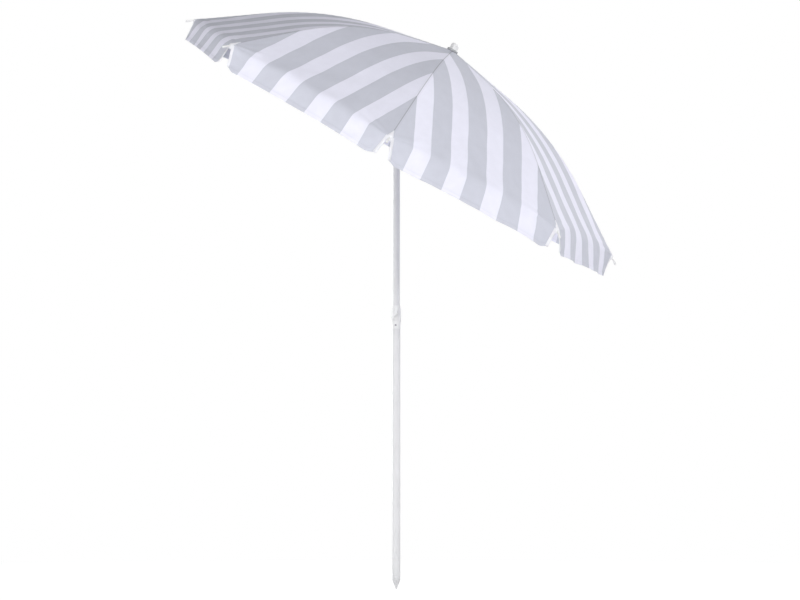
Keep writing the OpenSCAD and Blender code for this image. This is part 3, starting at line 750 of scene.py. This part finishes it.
def tip_patch(k):
    """Points and faces of the pointed patch over the rib's end and the top of the slit."""
    n = PATCH_COLUMNS
    points, faces = [], []
    for lift in (PATCH_LIFT, PATCH_UNDER):
        for row in range(PATCH_ROWS + 1):
            t = PATCH_TOP + (PATCH_FOOT - PATCH_TOP) * row / PATCH_ROWS
            half = PATCH_POINT + (PATCH_HALF - PATCH_POINT) * smooth(PATCH_WIDENING * row / PATCH_ROWS)
            for c in range(n):
                across = (2 * c / (n - 1) - 1) * half
                edge = 1 - PATCH_EDGE_DROP * (abs(across) / half) ** 4
                points.append(cloth_at(k, across / RIM_HALF, t, lift * edge))
    base = (PATCH_ROWS + 1) * n
    for row in range(PATCH_ROWS):
        for c in range(n - 1):
            a = row * n + c
            quad = [a, a + n, a + n + 1, a + 1]
            faces.append(quad)
            faces.append([base + i for i in reversed(quad)])
    rim = list(range(n))
    rim += [row * n + n - 1 for row in range(1, PATCH_ROWS + 1)]
    rim += [PATCH_ROWS * n + c for c in range(n - 2, -1, -1)]
    rim += [row * n for row in range(PATCH_ROWS - 1, 0, -1)]
    for a, b in zip(rim, rim[1:] + rim[:1]):
        faces.append([a, b, base + b, base + a])
    return points, faces


def slit_binding(k):
    """The tape round the slit at rib k, with the patch where its two sides meet."""
    plane = rib_frame(k)
    points, faces = [], []
    for made, found in (slit_tape(k, 1), slit_tape(k, -1), tip_patch(k)):
        start = len(points)
        points += [plane @ p for p in made]
        faces += [[start + i for i in face] for face in found]
    piece = new_piece(f"slit_binding_{k}", points, faces, TAPE, f"rib_{k}")
    gather(piece)


for rib in RIBS:
    canopy_gore(rib)
    slit_binding(rib)


# Clamp, with the round edges of a moulding

UP = Vector((0, 0, 1))
CLAMP_OUT = Vector(JOINTS["clamp_turn"]["axis"])
CLAMP_SIDE = UP.cross(CLAMP_OUT)
CLAMP_H = JOINTS["clamp_turn"]["pos_m"][2]
COLLAR_FOOT = CLAMP_H - 0.0465
COLLAR_R = 0.0140
# The collar's section: radius, height above its foot and edge radius, round the section
COLLAR_SECTION = (
    (0.01220, 0.000, 0.0002),
    (0.01325, 0.000, 0.0005),
    (0.01325, 0.022, 0.0004),
    (0.01445, 0.022, 0.0005),
    (0.01445, 0.028, 0.0003),
    (COLLAR_R, 0.028, 0.0001),
    (COLLAR_R, 0.065, 0.0006),
    (0.01300, 0.065, 0.0003),
    (0.01300, 0.073, 0.0007),
    (0.01108, 0.073, 0.0005),
    (0.01108, 0.036, 0.0002),
    (0.01220, 0.036, 0.0002),
)
# The boss round the screw. At its foot: radius and distance from the collar's face
BOSS_FOOT = ((0.0096, -0.0003), (0.0085, 0.0004), (0.0080, 0.0014))
# At its end: radius and distance from the pole's axis
BOSS_END = (
    (0.0080, 0.0181),
    (0.0078, 0.0187),
    (0.0071, 0.0190),
    (0.0052, 0.0190),
    (0.0049, 0.0187),
    (0.0049, 0.0136),
)
KNOB_LEAN = math.radians(25)
KNOB_HALF = 0.020
WING_HALF = 0.0045
HUB_R = 0.0070
HUB_BLEND = 5
# The wings' edge: inset from the outline and distance from the pole's axis
WING_EDGE = (
    (0.0017, 0.0244),
    (0.0005, 0.0247),
    (0.0000, 0.0257),
    (0.0000, 0.0289),
    (0.0004, 0.0298),
    (0.0013, 0.0304),
    (0.0020, 0.0304),
    (0.0025, 0.0300),
)
HUB_SECTION = (
    (0.00305, 0.0194, 0.0002),
    (HUB_R, 0.0194, 0.0009),
    (HUB_R, 0.0262, 0.0002),
    (0.00305, 0.0262, 0.0002),
)
# The collar's screw. Its domed face falls by SCREW_DOME times the square of the radius
SCREW_H = COLLAR_FOOT + 0.011
SCREW_TOP = 0.0147
SCREW_DOME = 60.0
SCREW_FACE_R = 0.0026
SCREW_FACE_RINGS = 26
# Down its side: radius and distance from the pole's axis
SCREW_SIDE = (
    (0.00285, 0.01418),
    (0.00297, 0.0140),
    (0.0030, 0.0138),
    (0.0030, 0.0128),
    (0.0015, 0.0128),
    (0.0015, 0.0115),
)
SCREW_TURN = math.radians(20)
CROSS_DEPTH = 0.0010
CROSS_HALF = 0.0004
CROSS_REACH = 0.0017
CROSS_EDGE = 0.0002
TURN_STEPS = 96
CORNER_STEPS = 4
WING_STEPS = 44


def rounded(section):
    """A closed section's points, with each corner rounded."""
    points = []
    for before, corner, after in zip(section[-1:] + section[:-1], section, section[1:] + section[:1]):
        at, radius = Vector(corner[:2]), corner[2]
        start = at + (Vector(before[:2]) - at).normalized() * radius
        end = at + (Vector(after[:2]) - at).normalized() * radius
        for i in range(CORNER_STEPS + 1):
            u = i / CORNER_STEPS
            points.append(start * (1 - u) ** 2 + at * 2 * u * (1 - u) + end * u ** 2)
    return points


def ring_faces(rings, n, closed):
    """Quads between rings of n points each; a closed set joins its last ring to its first."""
    faces = []
    for i in range(rings if closed else rings - 1):
        for j in range(n):
            k, ahead = (j + 1) % n, (i + 1) % rings
            faces.append([i * n + j, i * n + k, ahead * n + k, ahead * n + j])
    return faces


def turned(section, x, y, z, centre):
    """A ring turned about z from a section of radius and height."""
    points = []
    for radius, height in rounded(section):
        for i in range(TURN_STEPS):
            a = 2 * math.pi * i / TURN_STEPS
            points.append(centre + (x * math.cos(a) + y * math.sin(a)) * radius + z * height)
    return points, ring_faces(len(points) // TURN_STEPS, TURN_STEPS, True)


def boss():
    """The boss that holds the clamp screw, grown out of the collar's round face."""
    rings = BOSS_FOOT + BOSS_END
    points = []
    for i, (radius, reach) in enumerate(rings):
        for j in range(TURN_STEPS):
            a = 2 * math.pi * j / TURN_STEPS
            side, high = radius * math.cos(a), radius * math.sin(a)
            face = math.sqrt(COLLAR_R ** 2 - side ** 2) if i < len(BOSS_FOOT) else 0.0
            points.append(UP * (CLAMP_H + high) + CLAMP_SIDE * side + CLAMP_OUT * (face + reach))
    return points, ring_faces(len(rings), TURN_STEPS, True)


def wing_half(along, inset):
    """Half the width of the knob's inset outline at a distance along its wings."""
    past = max(0.0, abs(along) - (KNOB_HALF - WING_HALF))
    wing = math.sqrt(max(0.0, (WING_HALF - inset) ** 2 - past ** 2))
    hub = math.sqrt(max(0.0, (HUB_R - inset) ** 2 - along ** 2))
    return (wing ** HUB_BLEND + hub ** HUB_BLEND) ** (1 / HUB_BLEND)


def wings():
    """The knob's two wings, with round edges and a shallow panel in their face."""
    along = UP * math.cos(KNOB_LEAN) + CLAMP_SIDE * math.sin(KNOB_LEAN)
    across = CLAMP_SIDE * math.cos(KNOB_LEAN) - UP * math.sin(KNOB_LEAN)
    n = 2 * WING_STEPS
    points = []
    for inset, reach in WING_EDGE:
        for i in range(n):
            a = 2 * math.pi * i / n
            far = (inset - KNOB_HALF) * math.cos(a)
            half = math.copysign(wing_half(far, inset), math.sin(a)) if i % WING_STEPS else 0.0
            points.append(UP * CLAMP_H + along * far + across * half + CLAMP_OUT * reach)
    faces = ring_faces(len(WING_EDGE), n, False)
    for start in (0, (len(WING_EDGE) - 1) * n):
        for i in range(WING_STEPS):
            corners = [i, i + 1, (n - i - 1) % n, (n - i) % n]
            faces.append([start + c for c in dict.fromkeys(corners)])
    return points, faces


def cross_depth(x, y):
    """Depth of the cross in the screw's face."""
    def within(a, limit):
        return smooth((limit - abs(a)) / CROSS_EDGE + 0.5)

    upright = within(x, CROSS_HALF) * within(y, CROSS_REACH)
    level = within(y, CROSS_HALF) * within(x, CROSS_REACH)
    return CROSS_DEPTH * max(upright, level)


def screw():
    """The screw that fixes the collar, with a cross in its domed head."""
    face = [SCREW_FACE_R * (i + 1) / SCREW_FACE_RINGS for i in range(SCREW_FACE_RINGS)]
    rings = [(radius, None) for radius in face] + list(SCREW_SIDE)
    foot = UP * SCREW_H
    points = []
    for radius, reach in rings:
        for i in range(TURN_STEPS):
            a = 2 * math.pi * i / TURN_STEPS
            x, y = radius * math.cos(a), radius * math.sin(a)
            out = reach or SCREW_TOP - SCREW_DOME * radius ** 2 - cross_depth(x, y)
            a += SCREW_TURN
            points.append(foot + (CLAMP_SIDE * math.cos(a) + UP * math.sin(a)) * radius + CLAMP_OUT * out)
    faces = ring_faces(len(rings), TURN_STEPS, False)
    last = (len(rings) - 1) * TURN_STEPS
    for start, out in ((0, SCREW_TOP - CROSS_DEPTH), (last, SCREW_SIDE[-1][1])):
        middle = len(points)
        points.append(foot + CLAMP_OUT * out)
        faces += [[start + i, start + (i + 1) % TURN_STEPS, middle] for i in range(TURN_STEPS)]
    return points, faces


def moulding(name, parts, slot, body, node):
    """A piece of one or more closed shells, in place of a node."""
    points, faces = [], []
    for made, found in parts:
        faces += [[len(points) + i for i in face] for face in found]
        points += made
    piece = new_piece(name, points, faces, FINISHES[slot], body)
    shell = bmesh.new()
    shell.from_mesh(piece.data)
    bmesh.ops.recalc_face_normals(shell, faces=shell.faces)
    shell.to_mesh(piece.data)
    shell.free()
    piece.modifiers.new("normals", "WEIGHTED_NORMAL")
    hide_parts(node)


X_AXIS, Y_AXIS = Vector((1, 0, 0)), Vector((0, 1, 0))
moulding(
    "collar_shell",
    [turned(COLLAR_SECTION, X_AXIS, Y_AXIS, UP, UP * COLLAR_FOOT), boss()],
    "white_plastic",
    "lower_mast",
    "clamp_collar",
)
moulding(
    "wing_knob",
    [turned(HUB_SECTION, CLAMP_SIDE, UP, CLAMP_OUT, UP * CLAMP_H), wings()],
    "white_plastic",
    "clamp_handle",
    "clamp_knob",
)
moulding("cross_screw", [screw()], "bright_steel", "lower_mast", "collar_screw")


# Stage, light and camera

FLOOR_Z = cad_box[0].z
FLOOR_HALF = 40.0


def white_to_camera(tree, plain, white):
    """Shows white to the camera and to mirrors, and the plain shader to all other light."""
    path = tree.nodes.new("ShaderNodeLightPath")
    seen = path.outputs["Is Camera Ray"]
    for name in ("Is Glossy Ray", "Is Transmission Ray"):
        either = tree.nodes.new("ShaderNodeMath")
        either.operation = "MAXIMUM"
        tree.links.new(seen, either.inputs[0])
        tree.links.new(path.outputs[name], either.inputs[1])
        seen = either.outputs[0]
    mix = tree.nodes.new("ShaderNodeMixShader")
    tree.links.new(seen, mix.inputs[0])
    tree.links.new(plain, mix.inputs[1])
    tree.links.new(white, mix.inputs[2])
    return mix.outputs[0]


WHITE = (1, 1, 1, 1)
FLOOR_COLOUR = (0.8, 0.8, 0.8, 1)
HORIZON_LIGHT = 0.12
ZENITH_LIGHT = 0.18
FLOOR_GLOW = 0.82
FLOOR_SHADE = 0.28
FLOOR_NEAR = 1.2
FLOOR_FAR = 3.0


def sky(tree):
    """A soft sky, brighter overhead than round the horizon."""
    graph = Graph(tree)
    up = graph.split(tree.nodes.new("ShaderNodeTexCoord").outputs["Generated"])[2]
    plain = tree.nodes["Background"]
    plain.inputs["Color"].default_value = WHITE
    graph.put(plain.inputs["Strength"], graph.remap(up, 0.0, 1.0, HORIZON_LIGHT, ZENITH_LIGHT))
    return plain.outputs[0]


def studio():
    """A pale floor in a white room."""
    world = bpy.data.worlds.new("studio")
    bpy.context.scene.world = world
    world.use_nodes = True
    tree = world.node_tree
    white = tree.nodes.new("ShaderNodeBackground")
    white.inputs["Color"].default_value = WHITE
    white.inputs["Strength"].default_value = 1.0
    tree.links.new(white_to_camera(tree, sky(tree), white.outputs[0]), tree.nodes["World Output"].inputs[0])

    mesh = bpy.data.meshes.new("floor")
    corners = [(x * FLOOR_HALF, y * FLOOR_HALF, FLOOR_Z) for x, y in ((-1, -1), (1, -1), (1, 1), (-1, 1))]
    mesh.from_pydata(corners, [], [(0, 1, 2, 3)])
    floor = bpy.data.objects.new("floor", mesh)
    bpy.context.scene.collection.objects.link(floor)
    material, graph, shader = new_material("floor")
    nodes, links = graph.nodes, graph.links
    shader.inputs["Base Color"].default_value = FLOOR_COLOUR
    shader.inputs["Roughness"].default_value = 1.0
    shader.inputs["Specular IOR Level"].default_value = 0.0
    glow = nodes.new("ShaderNodeEmission")
    glow.inputs["Strength"].default_value = FLOOR_GLOW
    shade = nodes.new("ShaderNodeBsdfDiffuse")
    shade.inputs["Color"].default_value = (FLOOR_SHADE, FLOOR_SHADE, FLOOR_SHADE, 1)
    near = nodes.new("ShaderNodeAddShader")
    links.new(glow.outputs[0], near.inputs[0])
    links.new(shade.outputs[0], near.inputs[1])
    far = nodes.new("ShaderNodeEmission")
    far.inputs["Strength"].default_value = 1.0
    reach = nodes.new("ShaderNodeVectorMath")
    reach.operation = "LENGTH"
    links.new(graph.coordinates(), reach.inputs[0])
    seen = nodes.new("ShaderNodeMixShader")
    links.new(graph.remap(reach.outputs["Value"], FLOOR_NEAR, FLOOR_FAR), seen.inputs[0])
    links.new(near.outputs[0], seen.inputs[1])
    links.new(far.outputs[0], seen.inputs[2])
    shown = white_to_camera(material.node_tree, shader.outputs[0], seen.outputs[0])
    links.new(shown, nodes["Material Output"].inputs[0])
    mesh.materials.append(material)


# Softboxes round the object: degrees from the front towards the right, height of the middle, size and watts
LAMP_DISTANCE = 4.6
LAMP_AIM = Vector((0.05, 0.0, 1.15))
LAMPS = {
    "front": (5, 0.9, 2.6, 34.0),
    "front_high": (10, 3.3, 2.6, 60.0),
    "right": (45, 0.9, 2.6, 30.0),
    "right_high": (60, 3.3, 2.6, 53.0),
    "side": (95, 1.8, 2.6, 46.0),
    "left": (-40, 0.35, 1.6, 80.0),
    "back_left": (-118, 1.4, 2.6, 95.0),
    "back": (165, 3.2, 2.6, 110.0),
}


def lamp(name, azimuth_deg, height, size, power):
    """A square area lamp that points at the object."""
    light = bpy.data.lights.new(name, "AREA")
    light.shape = "SQUARE"
    light.size = size
    light.energy = power
    obj = bpy.data.objects.new(name, light)
    turn = math.radians(azimuth_deg)
    obj.location = (LAMP_DISTANCE * math.sin(turn), -LAMP_DISTANCE * math.cos(turn), height)
    obj.rotation_euler = (LAMP_AIM - obj.location).to_track_quat("-Z", "Y").to_euler()
    bpy.context.scene.collection.objects.link(obj)


CAMERA_DISTANCE = 5.443
CAMERA_AZIMUTH = math.radians(22.41)
CAMERA_YAW = math.radians(0.12)
CAMERA_PITCH = math.radians(6.72)
CAMERA_H = 0.211
CAMERA_LENS_MM = 78.7
CAMERA_SENSOR_MM = 36.0
CAMERA_CLIP = 200


def camera():
    """The photograph's view, from low down and a little to the right of the clamp knob."""
    data = bpy.data.cameras.new("camera")
    data.lens = CAMERA_LENS_MM
    data.sensor_width = CAMERA_SENSOR_MM
    data.sensor_fit = "HORIZONTAL"
    data.clip_end = CAMERA_CLIP
    obj = bpy.data.objects.new("camera", data)
    obj.location = (
        CAMERA_DISTANCE * math.sin(CAMERA_AZIMUTH),
        -CAMERA_DISTANCE * math.cos(CAMERA_AZIMUTH),
        CAMERA_H,
    )
    obj.rotation_euler = (math.pi / 2 + CAMERA_PITCH, 0, CAMERA_AZIMUTH - CAMERA_YAW)
    bpy.context.scene.collection.objects.link(obj)
    bpy.context.scene.camera = obj


studio()
for lamp_name, setting in LAMPS.items():
    lamp(lamp_name, *setting)
camera()
bpy.context.scene.view_settings.view_transform = "Standard"

bpy.context.view_layer.update()
